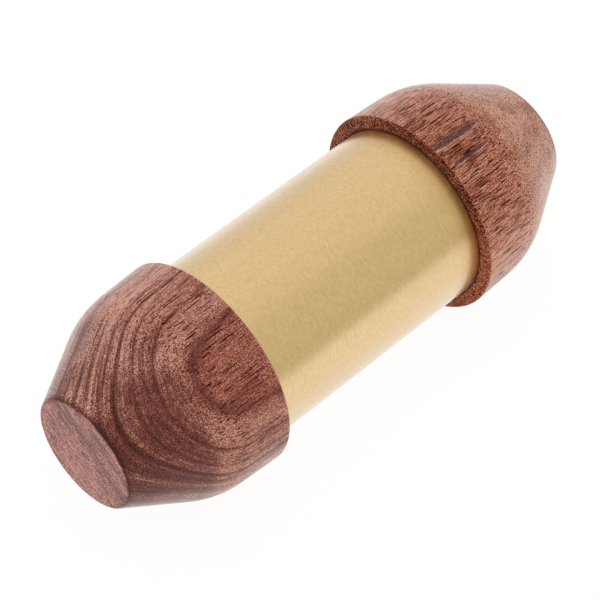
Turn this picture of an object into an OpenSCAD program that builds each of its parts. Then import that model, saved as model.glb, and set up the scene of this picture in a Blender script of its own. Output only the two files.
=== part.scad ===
// Ganza shaker: a metal tube with a turned wooden cap glued over each end
// and loose steel shot inside. Millimetres. The tube lies along X, the near
// cap is at minus X, and the origin is on the axis at mid length.

/* [Tube] */
// Outside diameter of the tube
tube_d = 45; // [38:0.5:54]
// Wall of the tube
tube_wall = 1.5; // [0.8:0.1:3]
// Length of tube left bare between the caps, as a grip
grip_len = 65; // [40:1:120]
// Chamfer that deburrs the four edges of the tube
tube_edge = 0.3; // [0.1:0.05:0.35]

/* [Caps] */
// Length of a cap along the axis
cap_len = 37; // [33:0.5:50]
// Wood left round the socket at the rim
rim_wall = 3.55; // [2.5:0.05:6]
// Angle at which the side narrows from the rim to the shoulder
land_angle = 2.46; // [0:0.01:6]
// Radius of the shoulder between the side and the nose
shoulder_r = 24.4; // [6:0.1:30]
// Angle of the nose to the axis
nose_angle = 29.4; // [24:0.1:38]
// Diameter of the flat end of the nose
end_d = 28.2; // [22:0.1:33]
// Radius of the edge round the flat end
end_edge_r = 0.7; // [0.1:0.05:2]
// Radius of the outer edge of the rim
rim_edge_r = 0.6; // [0.1:0.05:1.2]
// Depth of the socket that holds the tube
socket_len = 12; // [6:0.5:16]
// Chamfer at the mouth of the socket
mouth_edge = 0.25; // [0.1:0.05:1]
// Glue gap between the tube and the wall of the socket
glue_gap = 0.1; // [0.05:0.01:0.3]

/* [Shot] */
// Diameter of one ball
ball_d = 4; // [2.5:0.5:5]
// Running gap of a ball to its neighbours and to the bore
ball_gap = 0.1; // [0.05:0.01:0.2]
// Share of the chamber's length that a sliding row fills
row_fill_share = 0.57; // [0.3:0.01:0.9]

/* [Hidden] */
// Rows of the lower layer on each side of the centre row, counted in row steps
low_row_steps = [-2, -1, 1, 2];
// Rows of the upper layer, which lie in the grooves between the lower ones
high_row_steps = [-1.5, -0.5, 0.5, 1.5];
// Where each row rests, as a share of its travel to either side
low_rest_shares = [0.30, -0.45, 0.20, -0.65];
high_rest_shares = [-0.35, 0.55, -0.15, 0.40];
// How far a cutting solid runs past what it cuts
overrun = 1;
// How far an arc stands proud of the two sides that it joins, so that it crosses them cleanly
arc_proud = 0.001;

cap_facets = 180;
ball_facets = 48;

bore_r = tube_d / 2 - tube_wall;
tube_len = grip_len + 2 * socket_len;
socket_r = tube_d / 2 + glue_gap;
rim_r = socket_r + rim_wall;
end_r = end_d / 2;

// Where the straight side and the straight nose would meet, from the flat end
shoulder_h = (rim_r - cap_len * tan(land_angle) - end_r) / (tan(nose_angle) - tan(land_angle));
shoulder_x = end_r + shoulder_h * tan(nose_angle);
// The arc may use what the nose and the side leave beside their own edges
nose_room = shoulder_h / cos(nose_angle) - 2 * end_edge_r;
side_room = (cap_len - shoulder_h) / cos(land_angle) - 2 * rim_edge_r;
shoulder_arc_r = min(shoulder_r, min(nose_room, side_room) / tan((nose_angle - land_angle) / 2));

// Distance between the centres of two balls that lie side by side
ball_step = ball_d + ball_gap;
low_r = bore_r - ball_d / 2 - ball_gap;
// The rows of both layers lie one ball step apart, at the corners of equal triangles
half_row_angle = atan(ball_step / 2 / (low_r - ball_step * cos(30)));
high_r = ball_step / 2 / sin(half_row_angle);

chamber_len = tube_len;
centre_row_balls = floor((chamber_len - ball_gap) / ball_step);
row_balls = floor(row_fill_share * chamber_len / ball_step);
row_travel = (chamber_len - row_balls * ball_step - ball_gap) / 2;

LOW_NAMES = [for (i = [1 : len(low_row_steps)]) str("shot_low_row_", i)];
HIGH_NAMES = [for (i = [1 : len(high_row_steps)]) str("shot_high_row_", i)];

function towards(from, to) = (to - from) / norm(to - from);

// A convex outline whose corners are rounded with the given radii, as true arcs
module rounded_outline(corners, radii) {
    last = len(corners) - 1;
    ins = [for (i = [0 : last]) towards(corners[i], corners[i == 0 ? last : i - 1])];
    outs = [for (i = [0 : last]) towards(corners[i], corners[i == last ? 0 : i + 1])];
    halves = [for (i = [0 : last]) acos(ins[i] * outs[i]) / 2];
    starts = [for (i = [0 : last]) corners[i] + ins[i] * radii[i] / tan(halves[i])];
    ends = [for (i = [0 : last]) corners[i] + outs[i] * radii[i] / tan(halves[i])];
    polygon([for (i = [0 : last]) each radii[i] > 0 ? [starts[i], ends[i]] : [corners[i]]]);
    for (i = [0 : last])
        if (radii[i] > 0) {
            inward = towards([0, 0], ins[i] + outs[i]);
            inside = (starts[i] + ends[i] + inward * radii[i]) / 2;
            reach = 2 * sqrt(2 * radii[i] * arc_proud);
            intersection() {
                translate(corners[i] + inward * radii[i] / sin(halves[i]))
                    circle(r = radii[i] + arc_proud, $fn = 4 * cap_facets);
                polygon([
                    inside,
                    2 * (starts[i] + ins[i] * reach) - inside,
                    2 * corners[i] - inside,
                    2 * (ends[i] + outs[i] * reach) - inside
                ]);
            }
        }
}

// A cap stands on its flat end, with the socket open at the top
module turned_cap() {
    difference() {
        rotate_extrude($fn = cap_facets)
            rounded_outline(
                [[0, 0], [end_r, 0], [shoulder_x, shoulder_h], [rim_r, cap_len], [0, cap_len]],
                [0, end_edge_r, shoulder_arc_r, rim_edge_r, 0]
            );
        translate([0, 0, cap_len - socket_len])
            cylinder(r = socket_r, h = socket_len + overrun, $fn = cap_facets);
        translate([0, 0, cap_len - mouth_edge])
            cylinder(
                r1 = socket_r,
                r2 = socket_r + mouth_edge + overrun,
                h = mouth_edge + overrun,
                $fn = cap_facets
            );
    }
}

// The wall of the tube in section, with its four edges broken
module tube() {
    color("#d6b775")
        rotate([0, 90, 0])
            rotate_extrude($fn = cap_facets)
                polygon([
                    [bore_r, tube_edge - tube_len / 2],
                    [bore_r + tube_edge, -tube_len / 2],
                    [tube_d / 2 - tube_edge, -tube_len / 2],
                    [tube_d / 2, tube_edge - tube_len / 2],
                    [tube_d / 2, tube_len / 2 - tube_edge],
                    [tube_d / 2 - tube_edge, tube_len / 2],
                    [bore_r + tube_edge, tube_len / 2],
                    [bore_r, tube_len / 2 - tube_edge]
                ]);
}

module near_cap() {
    color("#96604f")
        translate([-grip_len / 2 - cap_len, 0, 0])
            rotate([0, 90, 0])
                turned_cap();
}

module far_cap() {
    color("#8c5849")
        mirror([1, 0, 0])
            translate([-grip_len / 2 - cap_len, 0, 0])
                rotate([0, 90, 0])
                    turned_cap();
}

// A straight row of balls along X, at a radius from the axis and an angle from straight down
module ball_row(count, radius, angle, shift) {
    rotate([angle, 0, 0])
        translate([shift - (count - 1) / 2 * ball_step, 0, -radius])
            for (i = [0 : count - 1])
                translate([i * ball_step, 0, 0])
                    sphere(d = ball_d, $fn = ball_facets);
}

module shot_centre_row() {
    color("silver")
        ball_row(centre_row_balls, low_r, 0, 0);
}

module shot_low_row(i) {
    color("silver")
        ball_row(row_balls, low_r, low_row_steps[i] * 2 * half_row_angle, low_rest_shares[i] * row_travel);
}

module shot_high_row(i) {
    color("silver")
        ball_row(row_balls, high_r, high_row_steps[i] * 2 * half_row_angle, high_rest_shares[i] * row_travel);
}

tube();
near_cap();
far_cap();
shot_centre_row();
for (i = [0 : len(low_row_steps) - 1])
    shot_low_row(i);
for (i = [0 : len(high_row_steps) - 1])
    shot_high_row(i);
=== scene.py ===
import math

import bpy
from mathutils import Matrix, Vector


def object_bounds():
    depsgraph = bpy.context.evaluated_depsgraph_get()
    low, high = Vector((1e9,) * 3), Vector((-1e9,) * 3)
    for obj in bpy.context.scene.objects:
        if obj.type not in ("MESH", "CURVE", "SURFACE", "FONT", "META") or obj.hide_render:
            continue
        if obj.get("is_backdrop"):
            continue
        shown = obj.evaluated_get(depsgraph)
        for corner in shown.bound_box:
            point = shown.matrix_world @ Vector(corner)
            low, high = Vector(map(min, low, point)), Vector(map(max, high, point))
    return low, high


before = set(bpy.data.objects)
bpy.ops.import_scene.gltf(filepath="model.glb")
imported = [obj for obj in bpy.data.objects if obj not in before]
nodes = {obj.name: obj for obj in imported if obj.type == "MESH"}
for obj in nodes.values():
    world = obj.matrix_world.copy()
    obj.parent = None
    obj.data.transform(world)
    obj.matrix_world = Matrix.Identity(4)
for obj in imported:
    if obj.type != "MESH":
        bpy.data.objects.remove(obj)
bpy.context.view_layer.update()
print("frame loaded:", len(nodes), "CAD nodes")

mm = 0.001  # the frame is in metres
nodesPerRow = 9
nodeStep = (210, 330)  # how far apart nodes stand in the editor
treeEnd = 2100  # where a tree's last node stands


# helpers that build node trees

def screen(red, green, blue):
    # a colour as a screen shows it, 0 to 255, turned into the linear values that nodes use
    linear = [((value / 255 + 0.055) / 1.055) ** 2.4 for value in (red, green, blue)]
    return (*linear, 1.0)


def feed(tree, socket, value):
    # another socket is linked to this one, a number or colour sets it
    if isinstance(value, bpy.types.NodeSocket):
        tree.links.new(value, socket)
    else:
        socket.default_value = value


def addNode(tree, kind, sockets=None, **settings):
    node = tree.nodes.new("ShaderNode" + kind)
    row, column = divmod(len(tree.nodes), nodesPerRow)
    node.location = (column * nodeStep[0], -row * nodeStep[1])
    for name, value in settings.items():
        setattr(node, name, value)
    for name, value in (sockets or {}).items():
        feed(tree, node.inputs[name], value)
    return node


def calc(tree, operation, *terms, clamp=False):
    sockets = dict(enumerate(terms))
    return addNode(tree, "Math", sockets, operation=operation, use_clamp=clamp).outputs[0]


def calcVector(tree, operation, *terms, **sockets):
    sockets = {**dict(enumerate(terms)), **sockets}
    node = addNode(tree, "VectorMath", sockets, operation=operation)
    return node.outputs["Value" if operation in ("LENGTH", "DOT_PRODUCT") else "Vector"]


def fade(tree, value, start, end, low=0.0, high=1.0):
    # runs smoothly from low to high while value goes from start to end
    sockets = {"Value": value, "From Min": start, "From Max": end, "To Min": low, "To Max": high}
    return addNode(tree, "MapRange", sockets, interpolation_type="SMOOTHSTEP").outputs["Result"]


def scaleWhere(tree, tone, mask, factor, start=0.0, end=1.0):
    # leaves the tone alone up to the mask's start, and multiplies it by the factor from its end on
    return calc(tree, "MULTIPLY", tone, fade(tree, mask, start, end, 1.0, factor))


def mixColour(tree, mode, amount, under, over):
    node = addNode(tree, "Mix", data_type="RGBA", blend_type=mode)
    inputs = {socket.identifier: socket for socket in node.inputs}
    feed(tree, inputs["Factor_Float"], amount)
    feed(tree, inputs["A_Color"], under)
    feed(tree, inputs["B_Color"], over)
    return next(socket for socket in node.outputs if socket.identifier == "Result_Color")


def noise(tree, vector, detail=2.0, roughness=0.5, distortion=0.0):
    sockets = {"Vector": vector, "Scale": 1.0, "Detail": detail, "Roughness": roughness,
               "Distortion": distortion}
    return addNode(tree, "TexNoise", sockets, noise_dimensions="3D").outputs["Fac"]


def inUnits(tree, position, size):
    # the position, counted in steps of the given size
    return calcVector(tree, "SCALE", position, Scale=calc(tree, "DIVIDE", 1.0, size))


def stretched(tree, position, length, width, shift=None):
    # the position, counted in steps of length along X and of width across it
    along = calc(tree, "DIVIDE", 1.0, length)
    across = calc(tree, "DIVIDE", 1.0, width)
    steps = addNode(tree, "CombineXYZ", {"X": along, "Y": across, "Z": across}).outputs[0]
    vector = calcVector(tree, "MULTIPLY", position, steps)
    if shift is None:
        return vector
    moved = addNode(tree, "CombineXYZ", {"X": shift, "Y": shift}).outputs[0]
    return calcVector(tree, "ADD", vector, moved)


def fromAxis(tree, position):
    # the distance from the X axis
    return calcVector(tree, "LENGTH", calcVector(tree, "MULTIPLY", position, (0, 1, 1)))


def stopsOf(tree, value, tones):
    # a colour ramp over 0 to 1 with the given stops
    ramp = addNode(tree, "ValToRGB", {"Fac": value})
    stops = ramp.color_ramp.elements
    for number, (position, tone) in enumerate(tones):
        stop = stops[number] if number < 2 else stops.new(1.0)  # a ramp starts with two stops
        stop.position = position
        stop.color = tone if isinstance(tone, tuple) else (tone, tone, tone, 1)
    return ramp.outputs["Color"]


def newGroup(name, inputs, outputs):
    group = bpy.data.node_groups.new(name, "ShaderNodeTree")
    for label, value in inputs.items():
        kind = "NodeSocketVector" if isinstance(value, tuple) else "NodeSocketFloat"
        socket = group.interface.new_socket(label, in_out="INPUT", socket_type=kind)
        socket.default_value = value
    for label in outputs:
        group.interface.new_socket(label, in_out="OUTPUT", socket_type="NodeSocketFloat")
    given = group.nodes.new("NodeGroupInput")
    result = group.nodes.new("NodeGroupOutput")
    result.location = (treeEnd, 0)
    return group, given.outputs, result.inputs


def useGroup(tree, group, **sockets):
    # smudgeSize feeds the input Smudge Size
    node = addNode(tree, "Group", node_tree=group)
    for label, value in sockets.items():
        words = "".join(" " + letter if letter.isupper() else letter for letter in label)
        feed(tree, node.inputs[words.title()], value)
    return node.outputs


def newMaterial(name):
    material = bpy.data.materials.new(name)
    material.use_nodes = True
    tree = material.node_tree
    shader = tree.nodes["Principled BSDF"]
    shader.location = (treeEnd, 0)
    tree.nodes["Material Output"].location = (treeEnd + 300, 0)
    place = addNode(tree, "TexCoord").outputs["Object"]
    return material, tree, shader, place


def dress(node, material):
    for slot in nodes[node].material_slots:
        slot.material = material


# shared effects, each a node group with its own inputs

def makeGrowthRings():
    # how deep a point lies among the yearly layers, in metres from the tube's axis towards the bark
    tree, given, result = newGroup(
        "growthRings",
        {
            "Position": (0, 0, 0),
            "Bark Side": (0, 0, 1),  # unit vector across the layers
            "Bow": 0.0,  # how the layers bend sideways, 1/m
            "Twist": 0.0,  # the same to the third power, 1/m2
            "Skew": 0.0,  # how they close up to one side, 1/m
            "Fan": 0.0,  # how they bend more further out, 1/m2
            "Curl": 0.0,  # how they bend at the far sides, 1/m3
            "Wobble": 0.5 * mm,
            "Wobble Size": 9 * mm,
        },
        ["Depth"],
    )
    drawnOut = calcVector(tree, "MULTIPLY", given["Position"], (0.35, 1, 1))  # along the grain
    wobble = noise(tree, inUnits(tree, drawnOut, given["Wobble Size"]))
    wobble = calc(tree, "MULTIPLY", calc(tree, "SUBTRACT", wobble, 0.5), given["Wobble"])
    out = calcVector(tree, "DOT_PRODUCT", given["Position"], given["Bark Side"])
    sideways = calcVector(tree, "CROSS_PRODUCT", (1, 0, 0), given["Bark Side"])
    side = calcVector(tree, "DOT_PRODUCT", given["Position"], sideways)
    square = calc(tree, "MULTIPLY", side, side)
    depth = calc(tree, "MULTIPLY_ADD", square, given["Bow"], out)
    for bend, one, other in (
        ("Twist", square, side), ("Skew", out, side), ("Fan", out, square), ("Curl", square, square)
    ):
        product = calc(tree, "MULTIPLY", one, other)
        depth = calc(tree, "MULTIPLY_ADD", product, given[bend], depth)
    tree.links.new(calc(tree, "ADD", depth, wobble), result["Depth"])
    return tree


def makeLayerHair():
    # hairlines that follow the yearly layers
    tree, given, result = newGroup(
        "layerHair",
        {"Position": (0, 0, 0), "Depth": 0.0, "Spacing": 0.5 * mm, "Reach": 7 * mm},
        ["Hair"],
    )
    across = calc(tree, "DIVIDE", given["Depth"], given["Spacing"])
    across = addNode(tree, "CombineXYZ", {"X": across}).outputs[0]
    vector = calcVector(tree, "ADD", inUnits(tree, given["Position"], given["Reach"]), across)
    tree.links.new(noise(tree, vector, roughness=0.6), result["Hair"])
    return tree


def makeFibreGrain():
    # fibres along X, of the given length and width, that waver a little
    tree, given, result = newGroup(
        "fibreGrain",
        {
            "Position": (0, 0, 0),
            "Length": 14 * mm,
            "Width": 0.8 * mm,
            "Waver": 0.5 * mm,
            "Shift": 0.0,
            "Detail": 2.0,
        },
        ["Grain"],
    )
    waves = {"Vector": given["Position"], "Scale": 90.0, "Detail": 1.0}  # about 11 mm long
    drift = addNode(tree, "TexNoise", waves).outputs["Color"]
    drift = calcVector(tree, "SUBTRACT", drift, (0.5, 0.5, 0.5))
    drift = calcVector(tree, "SCALE", drift, Scale=given["Waver"])
    bent = calcVector(tree, "ADD", given["Position"], drift)
    vector = stretched(tree, bent, given["Length"], given["Width"], given["Shift"])
    grain = noise(tree, vector, detail=given["Detail"], roughness=0.6)
    tree.links.new(grain, result["Grain"])
    return tree


def makeOpenPores():
    # vessels cut open by the lathe: dashes along the grain, dots where it is cut across
    tree, given, result = newGroup(
        "openPores",
        {
            "Position": (0, 0, 0),
            "Length": 12 * mm,
            "Width": 0.9 * mm,
            "Size": 0.2,  # of its cell
            "Share": 0.5,  # of the cells that hold a pore
            "Shift": 0.0,
        },
        ["Pore"],
    )
    vector = stretched(tree, given["Position"], given["Length"], given["Width"], given["Shift"])
    cells = addNode(tree, "TexVoronoi", {"Vector": vector, "Scale": 1.0, "Randomness": 1.0})
    chance = addNode(tree, "SeparateColor", {"Color": cells.outputs["Color"]}).outputs["Red"]
    there = calc(tree, "LESS_THAN", chance, given["Share"])
    bottom = calc(tree, "MULTIPLY", given["Size"], 0.85)  # the rest is its steep wall
    hole = fade(tree, cells.outputs["Distance"], bottom, given["Size"], 1.0, 0.0)
    tree.links.new(calc(tree, "MULTIPLY", hole, there), result["Pore"])
    return tree


def makeSmokyFigure():
    # soft dark clouds, drawn out along the grain
    tree, given, result = newGroup(
        "smokyFigure", {"Position": (0, 0, 0), "Size": 9 * mm, "Offset": (0, 0, 0)}, ["Cloud"]
    )
    drawnOut = calcVector(tree, "MULTIPLY", given["Position"], (0.4, 1, 1))
    vector = calcVector(tree, "ADD", inUnits(tree, drawnOut, given["Size"]), given["Offset"])
    cloud = noise(tree, vector, detail=4.0, roughness=0.6)
    tree.links.new(fade(tree, cloud, 0.42, 0.68), result["Cloud"])
    return tree


def makeGrainStreak():
    # one mineral streak along the grain: a ragged dark band, and a pale hairline inside it
    tree, given, result = newGroup(
        "grainStreak",
        {
            "Position": (0, 0, 0),
            "Towards": (0, 0, 1),  # unit vector from the axis to the streak
            "Width": 2 * mm,
            "Start": 0.0,  # its two ends along X
            "End": 10 * mm,
        },
        ["Streak", "Hairline"],
    )
    taper = 6 * mm  # it reaches its full width over this length
    raggedness = 0.6  # of its width
    lineEdge = (0.02 * mm, 0.10 * mm)  # the hairline fades out between these distances
    drawnOut = calcVector(tree, "MULTIPLY", given["Position"], (200, 1500, 1500))
    ragged = calc(tree, "SUBTRACT", noise(tree, drawnOut, detail=3.0, roughness=0.6), 0.5)
    ragged = calc(tree, "MULTIPLY", ragged, raggedness)
    sideways = calcVector(tree, "CROSS_PRODUCT", given["Towards"], (1, 0, 0))
    off = calcVector(tree, "DOT_PRODUCT", given["Position"], sideways)
    off = calc(tree, "MULTIPLY_ADD", ragged, given["Width"], off)
    along = addNode(tree, "SeparateXYZ", {"Vector": given["Position"]}).outputs["X"]
    begun = fade(tree, calc(tree, "SUBTRACT", along, given["Start"]), 0.0, taper)
    ahead = fade(tree, calc(tree, "SUBTRACT", given["End"], along), 0.0, taper)
    height = calcVector(tree, "DOT_PRODUCT", given["Position"], given["Towards"])
    there = calc(tree, "MULTIPLY", begun, ahead)
    there = calc(tree, "MULTIPLY", there, calc(tree, "GREATER_THAN", height, 0))
    half = calc(tree, "MULTIPLY", calc(tree, "MULTIPLY", given["Width"], 0.55), there)
    core = calc(tree, "MULTIPLY", half, 0.25)
    band = fade(tree, calc(tree, "ABSOLUTE", off), core, half, 1.0, 0.0)
    tree.links.new(calc(tree, "MULTIPLY", band, there), result["Streak"])
    offLine = calc(tree, "ABSOLUTE", calc(tree, "MULTIPLY_ADD", half, 0.75, off))
    line = fade(tree, offLine, *lineEdge, 1.0, 0.0)
    pieces = noise(tree, calcVector(tree, "SCALE", given["Position"], Scale=260.0))
    line = calc(tree, "MULTIPLY", line, fade(tree, pieces, 0.42, 0.5))  # it is broken in places
    tree.links.new(calc(tree, "MULTIPLY", line, there), result["Hairline"])
    return tree


def makeTurningMarks():
    # faint rings that the tool leaves round the X axis, on the sides and on the flat end alike
    tree, given, result = newGroup(
        "turningMarks", {"Position": (0, 0, 0), "Spacing": 0.35 * mm}, ["Mark"]
    )
    endPitch = 0.83  # on the flat end they lie a little wider apart
    along = addNode(tree, "SeparateXYZ", {"Vector": given["Position"]}).outputs["X"]
    path = calc(tree, "MULTIPLY_ADD", fromAxis(tree, given["Position"]), endPitch, along)
    path = calc(tree, "DIVIDE", path, given["Spacing"])
    marks = {"W": path, "Scale": 1.0, "Detail": 2.0}
    marks = addNode(tree, "TexNoise", marks, noise_dimensions="1D")
    tree.links.new(marks.outputs["Fac"], result["Mark"])
    return tree


def makeEdgeBand():
    # 1 on a circle round the X axis (its place along X and its radius), 0 at Width from it
    tree, given, result = newGroup(
        "edgeBand",
        {"Position": (0, 0, 0), "Along": 0.0, "Radius": 0.0, "Width": 0.5 * mm},
        ["Band"],
    )
    along = addNode(tree, "SeparateXYZ", {"Vector": given["Position"]}).outputs["X"]
    off = addNode(tree, "CombineXYZ", {
        "X": calc(tree, "SUBTRACT", along, given["Along"]),
        "Y": calc(tree, "SUBTRACT", fromAxis(tree, given["Position"]), given["Radius"]),
    }).outputs[0]
    band = fade(tree, calcVector(tree, "LENGTH", off), 0.0, given["Width"], 1.0, 0.0)
    tree.links.new(band, result["Band"])
    return tree


def makeBrushedMetal():
    # fine lines round the X axis, and the uneven film that hands leave
    tree, given, result = newGroup(
        "brushedMetal",
        {"Position": (0, 0, 0), "Spacing": 0.12 * mm, "Reach": 9 * mm, "Smudge Size": 14 * mm},
        ["Line", "Smudge"],
    )
    lines = stretched(tree, given["Position"], given["Spacing"], given["Reach"])
    tree.links.new(noise(tree, lines, roughness=0.6), result["Line"])
    film = inUnits(tree, given["Position"], given["Smudge Size"])
    tree.links.new(noise(tree, film, detail=4.0, distortion=0.6), result["Smudge"])
    return tree


growthRings = makeGrowthRings()
layerHair = makeLayerHair()
fibreGrain = makeFibreGrain()
openPores = makeOpenPores()
smokyFigure = makeSmokyFigure()
grainStreak = makeGrainStreak()
turningMarks = makeTurningMarks()
edgeBand = makeEdgeBand()
brushedMetal = makeBrushedMetal()
print("shared effects ready:", len(bpy.data.node_groups))


# camera

cameraLook = {
    "azimuth": -45.28,  # degrees, 0 looks along +Y
    "elevation": 47.68,
    "distance": 580.68 * mm,
    "sideways": -2.35 * mm,
    "upwards": -3.24 * mm,
    "lens": 152.61,  # in mm, as the sensor
    "sensor": 36,
}


def makeCamera(look):
    azimuth, elevation = math.radians(look["azimuth"]), math.radians(look["elevation"])
    right = Vector((math.cos(azimuth), math.sin(azimuth), 0))
    back = Vector((
        math.sin(azimuth) * math.cos(elevation),
        -math.cos(azimuth) * math.cos(elevation),
        math.sin(elevation),
    ))
    up = back.cross(right)
    data = bpy.data.cameras.new("camera")
    data.lens = look["lens"]
    data.sensor_width = look["sensor"]
    data.sensor_fit = "HORIZONTAL"
    data.clip_start, data.clip_end = 0.05, 20
    camera = bpy.data.objects.new("camera", data)
    camera.matrix_world = Matrix((right, up, back)).transposed().to_4x4()
    camera.location = right * look["sideways"] + up * look["upwards"] + back * look["distance"]
    bpy.context.scene.collection.objects.link(camera)
    bpy.context.scene.camera = camera


# floor, world and lamp

studioLook = {
    "floorRadius": 2.2,
    "floorColour": (0.95, 0.95, 0.95, 1),
    "floorRoughness": 0.9,
    "floorGlow": 0.92,  # how much of the floor is plain white to the camera and in reflections
    "reflectedWhite": 0.985,
    "cameraWhite": 1.035,  # a little over white, so that the floor is even
    "sheetFront": (0.10, 0.25),  # the white sheet fades out between these distances in front
    "sheetBack": (0.10, 0.34),  # and behind
    "skyColour": (0.80, 0.785, 0.715, 1),  # above the object
    "backColour": (0.78, 0.80, 0.83, 1),  # low behind it
    "frontColour": (0.69, 0.67, 0.555, 1),  # in front
    "lowFrontColour": (0.62, 0.60, 0.47, 1),  # in front, near the floor
    # where these colours begin and are full, as parts of a unit direction
    "lowFrom": (0.35, -0.1),
    "backFrom": (0.2, 0.8),
    "frontFrom": (0.25, 0.62),
    "lowFrontFrom": (0.6, 0.85),
    "lampPower": 1.4,
    "lampSize": 2.4,
    "lampHeight": 1.8,
    "lampBack": 1.0,
}


def makeFloor(look):
    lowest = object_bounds()[0][2]
    bpy.ops.mesh.primitive_circle_add(
        vertices=128, radius=look["floorRadius"], fill_type="NGON", location=(0, 0, lowest)
    )
    floor = bpy.context.object
    floor.name = "floor"
    material = bpy.data.materials.new("whiteFloor")
    material.use_nodes = True
    tree = material.node_tree
    shader = tree.nodes["Principled BSDF"]
    shader.inputs["Base Color"].default_value = look["floorColour"]
    shader.inputs["Roughness"].default_value = look["floorRoughness"]
    shader.inputs["Specular IOR Level"].default_value = 0.0
    rays = addNode(tree, "LightPath").outputs
    extra = look["cameraWhite"] - look["reflectedWhite"]
    strength = calc(tree, "MULTIPLY_ADD", rays["Is Camera Ray"], extra, look["reflectedWhite"])
    glow = addNode(tree, "Emission", {"Color": (1, 1, 1, 1), "Strength": strength})
    seen = calc(tree, "MAXIMUM", rays["Is Camera Ray"], rays["Is Glossy Ray"])
    seen = calc(tree, "MAXIMUM", seen, rays["Is Transmission Ray"])
    glowing = calc(tree, "MULTIPLY", seen, look["floorGlow"])
    white = addNode(tree, "MixShader", {0: glowing, 1: shader.outputs[0], 2: glow.outputs[0]})
    # past the white sheet the room shows, except to the camera
    place = addNode(tree, "TexCoord").outputs["Object"]
    along = addNode(tree, "SeparateXYZ", {"Vector": place}).outputs["Y"]
    ahead = fade(tree, calc(tree, "MULTIPLY", along, -1.0), *look["sheetFront"])
    behind = fade(tree, along, *look["sheetBack"])
    beyond = calc(tree, "ADD", ahead, behind)
    unseen = calc(tree, "SUBTRACT", 1.0, rays["Is Camera Ray"])
    beyond = calc(tree, "MULTIPLY", beyond, unseen)
    clear = addNode(tree, "BsdfTransparent")
    both = addNode(tree, "MixShader", {0: beyond, 1: white.outputs[0], 2: clear.outputs[0]})
    tree.links.new(both.outputs[0], tree.nodes["Material Output"].inputs["Surface"])
    floor.data.materials.append(material)
    floor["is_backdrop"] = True


def makeWorld(look):
    world = bpy.data.worlds.new("studio")
    world.use_nodes = True
    bpy.context.scene.world = world
    tree = world.node_tree
    direction = addNode(tree, "TexCoord").outputs["Generated"]
    parts = addNode(tree, "SeparateXYZ", {"Vector": direction}).outputs
    ahead = calc(tree, "MULTIPLY", parts["Y"], -1.0)
    low = fade(tree, parts["Z"], *look["lowFrom"])
    back = calc(tree, "MULTIPLY", fade(tree, parts["Y"], *look["backFrom"]), low)
    front = fade(tree, ahead, *look["frontFrom"])
    lowFront = calc(tree, "MULTIPLY", fade(tree, ahead, *look["lowFrontFrom"]), low)
    colour = mixColour(tree, "MIX", back, look["skyColour"], look["backColour"])
    colour = mixColour(tree, "MIX", front, colour, look["frontColour"])
    colour = mixColour(tree, "MIX", lowFront, colour, look["lowFrontColour"])
    rays = addNode(tree, "LightPath").outputs
    colour = mixColour(tree, "MIX", rays["Is Camera Ray"], colour, (1, 1, 1, 1))
    tree.links.new(colour, tree.nodes["Background"].inputs["Color"])


def makeLamp(look):
    data = bpy.data.lights.new("softbox", "AREA")
    data.shape = "SQUARE"
    data.size = look["lampSize"]
    data.energy = look["lampPower"]
    lamp = bpy.data.objects.new("softbox", data)
    lamp.location = (0, look["lampBack"], look["lampHeight"])
    lamp.rotation_euler = (-math.atan2(look["lampBack"], look["lampHeight"]), 0, 0)
    bpy.context.scene.collection.objects.link(lamp)


bpy.context.scene.view_settings.view_transform = "Standard"
makeCamera(cameraLook)
makeFloor(studioLook)
makeWorld(studioLook)
makeLamp(studioLook)
print("camera, floor and lights ready")


# tube: gold anodised aluminium, brushed round and round

tubeLook = {
    "gold": (0.92, 0.66, 0.352, 1),
    "deepGold": (0.79, 0.54, 0.258, 1),  # in the bottom of the brush lines
    "shadedGold": (0.97, 0.86, 0.62, 1),  # painted shade: multiplied in beside the far cap, where the cap shades the tube
    "endPlace": 33.5 * mm,
    "capShadeWidth": 9 * mm,
    "radius": 22.5 * mm,
    "brushSpacing": 0.25 * mm,
    "brushReach": 1.4 * mm,  # the length of a brush line
    "brushBump": 0.05,
    "brushHeight": 0.02 * mm,
    "smudgeSize": 14 * mm,
    "roughness": 0.27,
    "smudgeRoughness": 0.02,  # how far the film of hands changes it, either way
    "lineRoughness": 0.05,  # what the brush lines add
    "stretch": 0.8,  # how much wider the gloss is along the tube than round it
    "coat": 1.0,
    "coatRoughness": 0.2,
}


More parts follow.
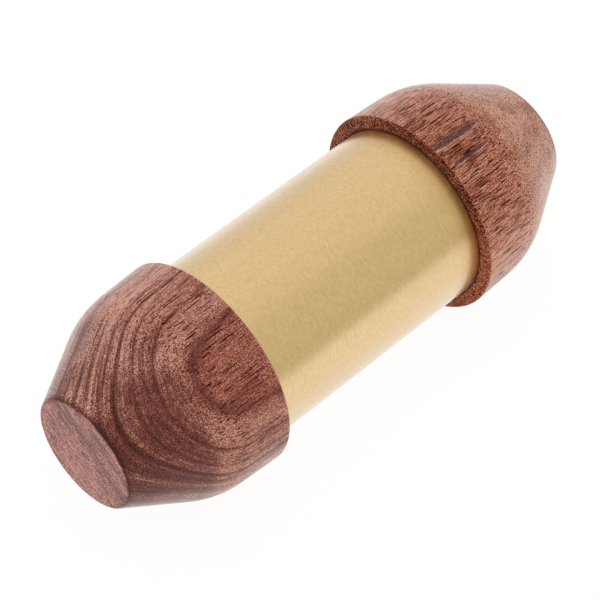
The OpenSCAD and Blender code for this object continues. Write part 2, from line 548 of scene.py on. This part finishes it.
def goldAluminium(look):
    material, tree, shader, place = newMaterial("goldAluminium")
    brush = useGroup(tree, brushedMetal, position=place, spacing=look["brushSpacing"],
                     reach=look["brushReach"], smudgeSize=look["smudgeSize"])
    line = fade(tree, brush["Line"], 0.3, 0.7)
    colour = mixColour(tree, "MIX", line, look["deepGold"], look["gold"])
    # painted shade on the tube beside the far cap, where the cap shades it
    capShade = useGroup(tree, edgeBand, position=place, along=look["endPlace"],
                    radius=look["radius"], width=look["capShadeWidth"])["Band"]
    colour = mixColour(tree, "MULTIPLY", capShade, colour, look["shadedGold"])
    tree.links.new(colour, shader.inputs["Base Color"])
    smooth = look["roughness"] - look["smudgeRoughness"]
    dull = look["roughness"] + look["smudgeRoughness"]
    rough = fade(tree, brush["Smudge"], 0.3, 0.7, smooth, dull)
    rough = calc(tree, "MULTIPLY_ADD", brush["Line"], look["lineRoughness"], rough)
    tree.links.new(rough, shader.inputs["Roughness"])
    bump = addNode(tree, "Bump", {
        "Height": brush["Line"],
        "Strength": look["brushBump"],
        "Distance": look["brushHeight"],
    })
    tree.links.new(bump.outputs[0], shader.inputs["Normal"])
    shader.inputs["Metallic"].default_value = 1.0
    shader.inputs["Coat Weight"].default_value = look["coat"]
    shader.inputs["Coat Roughness"].default_value = look["coatRoughness"]
    shader.inputs["Anisotropic"].default_value = look["stretch"]
    shader.inputs["Anisotropic Rotation"].default_value = 0.25  # a quarter turn
    around = addNode(tree, "Tangent", direction_type="RADIAL", axis="X")
    tree.links.new(around.outputs[0], shader.inputs["Tangent"])
    return material


dress("tube", goldAluminium(tubeLook))
print("tube dressed")


# caps: reddish hardwood, turned and sanded, not varnished

# what both caps share
capLook = {
    "layerReach": 27,  # ringTones run from this depth below the axis to this depth above it, in mm
    # a surface's lean towards the flat end, from 1 to -1, tells how the fibres are cut there
    "noseTo": 0.48,
    "endFrom": (0.7, 0.95),
    "rimFrom": (-0.35, -0.85),
    "innerTint": (1.0, 0.86, 0.86, 1),  # in the layers nearest the bark
    # hairlines in the layers, on the nose and where the wood is cut across
    "noseHair": {"spacing": 0.4 * mm, "reach": 9 * mm},
    "endHair": {"spacing": 0.34 * mm, "reach": 4 * mm},
    "noseHairShare": (0.35, 0.75),  # of hair, on the painted shaded and the painted lit side of the nose
    "hairShare": 0.2,  # of hair, elsewhere
    "endHairShade": 0.34,
    # fibres from coarse to fine, and the width of a fibre cut along the grain and across it
    "coarseFibre": {"length": 14 * mm, "width": 1.1 * mm, "waver": 0.6 * mm},
    "middleFibre": {"length": 6 * mm, "waver": 0.12 * mm, "shift": 9.0, "detail": 1.0},
    "middleWidth": (0.18 * mm, 0.26 * mm),
    "fineFibre": {"length": 0.3 * mm, "waver": 0.0, "shift": 4.0, "detail": 0.0},
    "fineWidth": (0.17 * mm, 0.23 * mm),
    "grainFrom": (0.34, 0.66),  # the noise of the darkest and of the lightest fibre
    # how strong these show
    "fibre": 0.05,
    "litStrand": 1.5,  # times strand, on the painted lit side
    "noseStrand": 0.5,  # times strand, on the nose
    "rimGrain": 0.6,
    "poreShade": 0.2,
    "nosePoreShade": 0.5,
    "poreCrowds": (0.6, 1.3),  # times each share, in the fibres with few pores and with many
    "nosePores": 0.3,  # times each share, on the nose
    # circles on a cap: distance from the shaker's middle, radius, width, how light they leave it
    # painted shade: a thin dark line along the flat end's edge, broken by the fibres
    "endEdgeShade": (69.15 * mm, 14.15 * mm, 0.5 * mm, 0.45),
    # painted highlight along the flat end's edge, on highlitSide
    "endHighlight": (69.5 * mm, 13.6 * mm, 0.4 * mm, 1.16),
    # painted shadow: a wide soft ring round the flat end
    "endShadow": (69.2 * mm, 14.2 * mm, 1.5 * mm, 0.8),
    "rimWear": (32.7 * mm, 26.0 * mm, 0.6 * mm, 1.25),
    "mouth": (32.5 * mm, 22.6 * mm, 0.65 * mm, 0.3),
    "endPlace": 69.5 * mm,
    "highlitSide": (0, -0.5, 0.866),  # where the painted highlight lies on the flat end's edge
    "highlitFrom": (-0.2, 0.5),
    "turningSpacing": 0.35 * mm,
    "turningHeight": 0.006,  # in mm, as the next two
    "fibreHeight": 0.01,
    "poreHeight": -0.07,
    "bump": 0.6,
    "roughness": 0.4,
    "fibreRoughness": 0.05,  # less on a light fibre, more on a dark one
    "poreRoughness": 0.25,
    "specular": 0.05,
    "sheen": 0.5,
    "sheenRoughness": 0.29,
    "sheenTint": (1.0, 0.99, 0.98, 1),
    "wax": (0.7, 1.0),  # on the dark and the light fibres
    "waxIor": 1.30,
    "waxRoughness": 0.30,
}

nearCapLook = {
    **capLook,
    "outward": -1,  # the flat end faces this way along X
    "layers": {
        "barkSide": (0, -0.618, 0.786), "bow": 1.79, "twist": 85.0, "skew": 2.18, "fan": 147.0,
        "curl": -796.0, "wobble": 0.24 * mm, "wobbleSize": 6 * mm,
    },
    # how light the layers are, by their depth in mm
    "ringTones": [
        (-27, 0.62), (-17, 0.77), (-6, 0.78), (-1.5, 0.74), (2, 0.66), (4.4, 0.48), (7.6, 0.695),
        (8.3, 0.73), (9.4, 0.56), (10.2, 0.65), (11.2, 0.57), (12.4, 0.85), (13.2, 0.67),
        (14.0, 0.505), (14.7, 0.65), (15.4, 0.625), (15.9, 0.40), (16.5, 0.795), (17.6, 0.74),
        (17.9, 0.68), (18.2, 0.515), (18.6, 0.705), (19.4, 0.665), (20.7, 0.69), (21.1, 0.47),
        (21.4, 0.71), (22.2, 0.755), (23.1, 0.745), (24.1, 0.65), (24.7, 0.45), (25.2, 0.585),
        (27, 0.62),
    ],
    # the colour of the wood for every lightness
    "woodTones": [
        (0.10, screen(42, 8, 5)), (0.24, screen(66, 23, 17)), (0.42, screen(108, 55, 49)),
        (0.49, screen(126, 67, 60)), (0.59, screen(151, 84, 74)), (0.63, screen(161, 94, 83)),
        (0.675, screen(173, 109, 96)), (0.71, screen(181, 118, 106)),
        (0.80, screen(205, 148, 134)), (0.90, screen(230, 182, 168)),
    ],
    "noseFrom": 0.30,  # where the fibres begin to be cut at a slant
    # partly the wood's own tone, partly painted shade: this nose is darker as if less light falls
    # on it
    "noseShade": 0.65,
    "noseTint": (1.0, 1.0, 1.0, 1),  # away from the painted lit side
    "endShade": 0.905,  # on the flat end, where they are cut across
    "endTint": (1.0, 0.74, 0.75, 1),
    # on the sawn rim: darker end grain, and partly painted shade
    "rimShade": 0.66,
    "rimTint": (1.0, 0.9, 0.8, 1),
    "flankTint": (1.0, 0.88, 0.86, 1),
    "innerFrom": (24.7 * mm, 25.6 * mm),  # the depths between which innerTint comes in
    "litSide": (0, 0.64, 0.77),  # painted light: the side where the wood is painted lighter, as if more light falls there
    # painted light: the nose, flank and rim are made lighter towards litSide, and the side straight
    # across from it too
    "litNoseFrom": (0.17, 1.0),
    "litFlankFrom": (0.88, 1.0),
    "litNose": 1.50,
    "litFlank": 1.40,
    "litRim": 1.0,
    "litAcrossFrom": (-0.70, -0.97),  # straight across from the painted lit side, which is painted lighter too
    "litAcross": 1.4,
    "smoke": 0.10,
    "smokeSize": 7 * mm,
    "smokeOffset": (1.7, 0.2, 4.1),
    "hair": 0.24,
    "strand": 0.10,
    "fleck": 0.31,
    "noseFleck": 0.09,
    "pores": [
        {"length": 13 * mm, "width": 0.34 * mm, "size": 0.3, "shift": 0.0, "share": 0.28},
        {"length": 24 * mm, "width": 0.44 * mm, "size": 0.3, "shift": 7.0, "share": 0.38},
    ],
    "streaks": [],
    # marks on the flat end: centre, width, how light they leave it
    "endMarks": [
        ((0, 0.2 * mm, 0.1 * mm), 0.75 * mm, 0.3),
        ((0, 0.1 * mm, 3.9 * mm), 1.3 * mm, 0.8),
    ],
}

farCapLook = {
    **capLook,
    "outward": 1,
    "layers": {
        "barkSide": (0, -0.31, 0.951), "bow": -6.0, "twist": 20.0, "skew": 1.0, "fan": 30.0,
        "curl": 0.0, "wobble": 1.2 * mm, "wobbleSize": 12 * mm,
    },
    "ringTones": [
        (-27, 0.66), (-18, 0.72), (-12, 0.65), (-5, 0.71), (0, 0.66), (6, 0.70), (9, 0.66),
        (12, 0.71), (14.5, 0.67), (17, 0.70), (19, 0.675), (21.5, 0.70), (23.4, 0.665),
        (24.5, 0.685), (25.1, 0.65), (25.7, 0.63), (27, 0.63),
    ],
    "woodTones": [
        (0.10, screen(52, 8, 4)), (0.24, screen(76, 24, 13)), (0.45, screen(116, 54, 35)),
        (0.59, screen(150, 83, 64)), (0.655, screen(167, 99, 79)), (0.705, screen(180, 112, 91)),
        (0.745, screen(190, 124, 102)), (0.785, screen(200, 135, 113)),
        (0.90, screen(230, 180, 165)),
    ],
    "noseFrom": 0.10,
    # partly the wood's own tone, partly painted light: this nose is lighter as if more light falls
    # on it
    "noseShade": 1.12,
    "noseTint": (1.04, 0.955, 0.90, 1),
    "endShade": 1.1,
    "endTint": (1.0, 0.95, 0.94, 1),
    # on the sawn rim: darker end grain, and partly painted shade
    "rimShade": 0.59,
    "rimTint": (1.0, 0.76, 0.60, 1),
    "flankTint": (1.06, 0.905, 0.87, 1),
    "innerFrom": (26 * mm, 27 * mm),
    # painted light: lighter towards the low front, where the white floor lights it, and across from
    # it
    "litSide": (0, -0.94, -0.34),
    "litNoseFrom": (0.60, 0.92),
    "litFlankFrom": (0.62, 0.94),
    "litNose": 1.42,
    "litFlank": 1.50,
    "litRim": 2.3,
    "litAcrossFrom": (-0.42, -0.88),
    "litAcross": 1.25,
    "smoke": 0.13,
    "smokeSize": 6 * mm,
    "smokeOffset": (0.4, 3.1, 2.2),
    "hair": 0.17,
    "strand": 0.17,
    "fleck": 0.27,
    "noseFleck": 0.05,
    "pores": [
        {"length": 9 * mm, "width": 0.38 * mm, "size": 0.32, "shift": 0.0, "share": 0.68},
        {"length": 28 * mm, "width": 0.44 * mm, "size": 0.3, "shift": 7.0, "share": 0.55},
        {"length": 6 * mm, "width": 0.34 * mm, "size": 0.3, "shift": 13.0, "share": 0.4},
    ],
    "streaks": [
        {"towards": (0, -0.259, 0.966), "width": 2.6 * mm, "start": 29 * mm, "end": 50 * mm},
        {"towards": (0, -0.462, 0.887), "width": 1.3 * mm, "start": 31 * mm, "end": 48 * mm},
    ],
    "streakColour": screen(80, 43, 45),
    "hairlineColour": screen(222, 190, 182),
    "endMarks": [((0, 0, 0), 0.75 * mm, 0.5)],
}


def findCuts(tree, place, look):
    # how the fibres are cut: along on the flank, at a slant on the nose, across on the end and rim
    lean = addNode(tree, "SeparateXYZ", {"Vector": place.node.outputs["Normal"]}).outputs["X"]
    lean = calc(tree, "MULTIPLY", lean, look["outward"])
    radial = calcVector(tree, "NORMALIZE", calcVector(tree, "MULTIPLY", place, (0, 1, 1)))
    turn = calcVector(tree, "DOT_PRODUCT", radial, look["litSide"])
    worn = calcVector(tree, "DOT_PRODUCT", radial, look["highlitSide"])
    nose = fade(tree, lean, look["noseFrom"], look["noseTo"])
    end = fade(tree, lean, *look["endFrom"])
    rim = fade(tree, lean, *look["rimFrom"])
    return {
        "turn": turn,  # 1 on the painted lit side, -1 straight across
        # where painted light falls, and where the painted highlight lies on the flat end's edge
        "pale": fade(tree, turn, *look["litNoseFrom"]),
        "worn": fade(tree, worn, *look["highlitFrom"]),
        "nose": nose,
        "flank": calc(tree, "SUBTRACT", 1.0, nose),
        "end": end,
        "rim": rim,
        "across": calc(tree, "ADD", end, rim),
    }


def shadeLayers(tree, place, depth, cuts, look):
    # the yearly layers, shaded by the way that they are cut (partly the wood's own tone, partly
    # painted light and shade), and soft clouds over them
    reach = look["layerReach"]
    level = {"Value": depth, "From Min": -reach * mm, "From Max": reach * mm}
    level = addNode(tree, "MapRange", level).outputs["Result"]
    tones = [((at + reach) / (2 * reach), light) for at, light in look["ringTones"]]
    tone = stopsOf(tree, level, tones)
    # painted light: the flank is lighter towards litSide, and the nose and rim get a darker value
    # on the painted shaded side and a lighter one on the painted lit side
    shade = fade(tree, cuts["turn"], *look["litFlankFrom"], 1.0, look["litFlank"])
    for where, dark, pale in (
        ("nose", look["noseShade"], look["noseShade"] * look["litNose"]),
        ("end", look["endShade"], look["endShade"]),
        ("rim", look["rimShade"], look["rimShade"] * look["litRim"]),
    ):
        there = {"Factor": cuts[where], "A": shade, "B": fade(tree, cuts["pale"], 0, 1, dark, pale)}
        shade = addNode(tree, "Mix", there).outputs["Result"]
    tone = calc(tree, "MULTIPLY", tone, shade)
    # painted light on the side straight across from litSide
    opposite = fade(tree, cuts["turn"], *look["litAcrossFrom"])
    opposite = calc(tree, "SUBTRACT", opposite, cuts["end"], clamp=True)
    tone = scaleWhere(tree, tone, opposite, look["litAcross"])
    cloud = useGroup(tree, smokyFigure, position=place, size=look["smokeSize"],
                     offset=look["smokeOffset"])["Cloud"]
    smoke = fade(tree, cloud, 0, 1, 1 + look["smoke"] / 2, 1 - look["smoke"])
    return calc(tree, "MULTIPLY", tone, smoke)


def layFibres(tree, place, depth, cuts, look):
    # the hairlines in the layers, and fibres from coarse to fine
    def hairs(key):
        return useGroup(tree, layerHair, position=place, depth=depth, **look[key])["Hair"]

    def fibres(key, **sockets):
        return useGroup(tree, fibreGrain, position=place, **look[key], **sockets)["Grain"]

    def widthOf(key):
        along, across = look[key]
        return calc(tree, "MULTIPLY_ADD", cuts["across"], across - along, along)

    return {
        "noseHair": hairs("noseHair"),
        "endHair": hairs("endHair"),
        "coarse": fibres("coarseFibre"),
        "middle": fibres("middleFibre", width=widthOf("middleWidth")),
        "fine": fibres("fineFibre", width=widthOf("fineWidth")),
    }


def shadeFibres(tree, tone, fibres, cuts, look):
    # the layers' hairlines show where they are cut across, the flecks most on the end grain
    noseHair = fade(tree, cuts["pale"], 0, 1, *look["noseHairShare"])
    noseHair = calc(tree, "MULTIPLY", calc(tree, "SUBTRACT", cuts["nose"], cuts["end"]), noseHair)
    noseHair = calc(tree, "MULTIPLY_ADD", noseHair, look["hair"], look["hair"] * look["hairShare"])
    endHair = calc(tree, "MULTIPLY", cuts["across"], look["endHairShade"])
    strand = fade(tree, cuts["pale"], 0, 1, look["strand"], look["strand"] * look["litStrand"])
    strand = scaleWhere(tree, strand, cuts["nose"], look["noseStrand"])
    strand = calc(tree, "MULTIPLY_ADD", cuts["rim"], look["rimGrain"], strand)
    fleck = calc(tree, "MULTIPLY_ADD", cuts["rim"], look["rimGrain"], look["fleck"])
    fleck = calc(tree, "MULTIPLY_ADD", cuts["nose"], look["noseFleck"], fleck)
    for kind, shown in (
        ("noseHair", noseHair), ("endHair", endHair), ("coarse", look["fibre"]), ("middle", strand),
        ("fine", fleck),
    ):
        change = fade(tree, fibres[kind], *look["grainFrom"], -1.0, 1.0)
        tone = calc(tree, "MULTIPLY", tone, calc(tree, "MULTIPLY_ADD", change, shown, 1.0))
    return tone


def findPores(tree, place, coarse, cuts, look):
    # open pores, crowded in some places, and fewer where they are cut at a slant
    crowd = fade(tree, coarse, 0.4, 0.6, *look["poreCrowds"])
    crowd = scaleWhere(tree, crowd, cuts["nose"], look["nosePores"])
    pore = 0.0
    for kind in look["pores"]:
        share = calc(tree, "MULTIPLY", crowd, kind["share"])
        found = useGroup(tree, openPores, position=place, **{**kind, "share": share})["Pore"]
        pore = calc(tree, "MAXIMUM", pore, found)
    return pore


def drawCircles(tree, tone, place, fine, cuts, look):
    # painted shade and a painted highlight along the flat end's edge, a painted shadow round it,
    # the worn rim edge, the painted shadow where the tube goes in, and the marks of the lathe on
    # the flat end
    broken = fade(tree, fine, 0.35, 0.6, 1.0, 0.5)  # by the fibres that it crosses
    rubbed = fade(tree, fine, 0.42, 0.6)  # only on the light fibres
    for name, mask, full in (
        ("endEdgeShade", broken, 1.0),
        ("endHighlight", cuts["worn"], 1.0),
        ("endShadow", 1.0, 0.7),
        ("rimWear", rubbed, 1.0),
        ("mouth", 1.0, 1.0),
    ):
        distance, radius, width, light = look[name]
        band = useGroup(tree, edgeBand, position=place, along=look["outward"] * distance,
                        radius=radius, width=width)["Band"]
        band = calc(tree, "MULTIPLY", band, mask)
        tone = scaleWhere(tree, tone, band, light, end=full)
    for centre, width, light in look["endMarks"]:
        off = calcVector(tree, "SUBTRACT", place, centre)
        mark = useGroup(tree, edgeBand, position=off, along=look["outward"] * look["endPlace"],
                        radius=0.0, width=width)["Band"]
        tone = scaleWhere(tree, tone, mark, light, 0.1, 0.6)
    return tone


def tintWood(tree, tone, place, depth, middle, cuts, look):
    # the wood's colour for its lightness, tinted by the way that it is cut, and its dark streaks
    colour = stopsOf(tree, tone, look["woodTones"])
    # the side away from the painted light
    dark = calc(tree, "SUBTRACT", 1.0, cuts["pale"])
    inner = fade(tree, depth, *look["innerFrom"])
    for mask, tint in (
        (cuts["end"], "endTint"),
        (cuts["rim"], "rimTint"),
        (cuts["flank"], "flankTint"),
        (calc(tree, "MULTIPLY", dark, cuts["nose"]), "noseTint"),
        (calc(tree, "MULTIPLY", inner, cuts["flank"]), "innerTint"),
    ):
        colour = mixColour(tree, "MULTIPLY", mask, colour, look[tint])
    for streak in look["streaks"]:
        found = useGroup(tree, grainStreak, position=place, **streak)
        stain = scaleWhere(tree, found["Streak"], middle, 0.6, 0.4, 0.66)  # fibres show in it
        stain = calc(tree, "SUBTRACT", stain, cuts["rim"], clamp=True)
        line = calc(tree, "SUBTRACT", found["Hairline"], cuts["rim"], clamp=True)
        colour = mixColour(tree, "MIX", stain, colour, look["streakColour"])
        colour = mixColour(tree, "MIX", line, colour, look["hairlineColour"])
    return colour


def hardwood(name, look):
    material, tree, shader, place = newMaterial(name)
    cuts = findCuts(tree, place, look)
    depth = useGroup(tree, growthRings, position=place, **look["layers"])["Depth"]
    fibres = layFibres(tree, place, depth, cuts, look)
    pore = findPores(tree, place, fibres["coarse"], cuts, look)
    tone = shadeLayers(tree, place, depth, cuts, look)
    tone = shadeFibres(tree, tone, fibres, cuts, look)
    poreShade = fade(tree, cuts["nose"], 0, 1, look["poreShade"], look["nosePoreShade"])
    tone = scaleWhere(tree, tone, pore, poreShade)
    tone = drawCircles(tree, tone, place, fibres["fine"], cuts, look)
    colour = tintWood(tree, tone, place, depth, fibres["middle"], cuts, look)
    tree.links.new(colour, shader.inputs["Base Color"])

    dull = look["roughness"] + look["fibreRoughness"]
    smooth = look["roughness"] - look["fibreRoughness"]
    rough = fade(tree, fibres["fine"], 0.3, 0.7, dull, smooth)
    rough = calc(tree, "MULTIPLY_ADD", pore, look["poreRoughness"], rough)
    tree.links.new(rough, shader.inputs["Roughness"])
    turned = useGroup(tree, turningMarks, position=place, spacing=look["turningSpacing"])["Mark"]
    height = calc(tree, "MULTIPLY", fibres["fine"], look["fibreHeight"])
    height = calc(tree, "MULTIPLY_ADD", turned, look["turningHeight"], height)
    height = calc(tree, "MULTIPLY_ADD", pore, look["poreHeight"], height)
    bump = addNode(tree, "Bump", {"Height": height, "Strength": look["bump"], "Distance": mm})
    tree.links.new(bump.outputs[0], shader.inputs["Normal"])
    # a thin wax that has not run into the pores or over the sawn rim
    closed = calc(tree, "SUBTRACT", 1.0, calc(tree, "MAXIMUM", pore, cuts["rim"]))
    wax = fade(tree, fibres["fine"], *look["grainFrom"], *look["wax"])
    tree.links.new(calc(tree, "MULTIPLY", closed, wax), shader.inputs["Coat Weight"])
    for socket, value in (
        ("Specular IOR Level", "specular"),
        ("Sheen Weight", "sheen"),
        ("Sheen Roughness", "sheenRoughness"),
        ("Sheen Tint", "sheenTint"),
        ("Coat IOR", "waxIor"),
        ("Coat Roughness", "waxRoughness"),
    ):
        shader.inputs[socket].default_value = look[value]
    return material


dress("near_cap", hardwood("nearHardwood", nearCapLook))
dress("far_cap", hardwood("farHardwood", farCapLook))
print("caps dressed")


# shot: bright steel balls

shotLook = {
    "steel": (0.56, 0.55, 0.53, 1),
    "dullSteel": (0.40, 0.39, 0.375, 1),
    "roughness": 0.22,
    "dullRoughness": 0.42,
    "scratchSize": 0.3 * mm,
    "smudgeSize": 2 * mm,
}


def steelShot(look):
    material, tree, shader, place = newMaterial("steelShot")
    brush = useGroup(tree, brushedMetal, position=place, spacing=look["scratchSize"],
                     reach=look["scratchSize"], smudgeSize=look["smudgeSize"])
    dull = fade(tree, brush["Smudge"], 0.35, 0.7)
    colour = mixColour(tree, "MIX", dull, look["steel"], look["dullSteel"])
    tree.links.new(colour, shader.inputs["Base Color"])
    rough = fade(tree, brush["Line"], 0.3, 0.8, look["roughness"], look["dullRoughness"])
    tree.links.new(rough, shader.inputs["Roughness"])
    shader.inputs["Metallic"].default_value = 1.0
    return material


shot = steelShot(shotLook)
for name in nodes:
    if name.startswith("shot_"):
        dress(name, shot)
print("shot dressed")
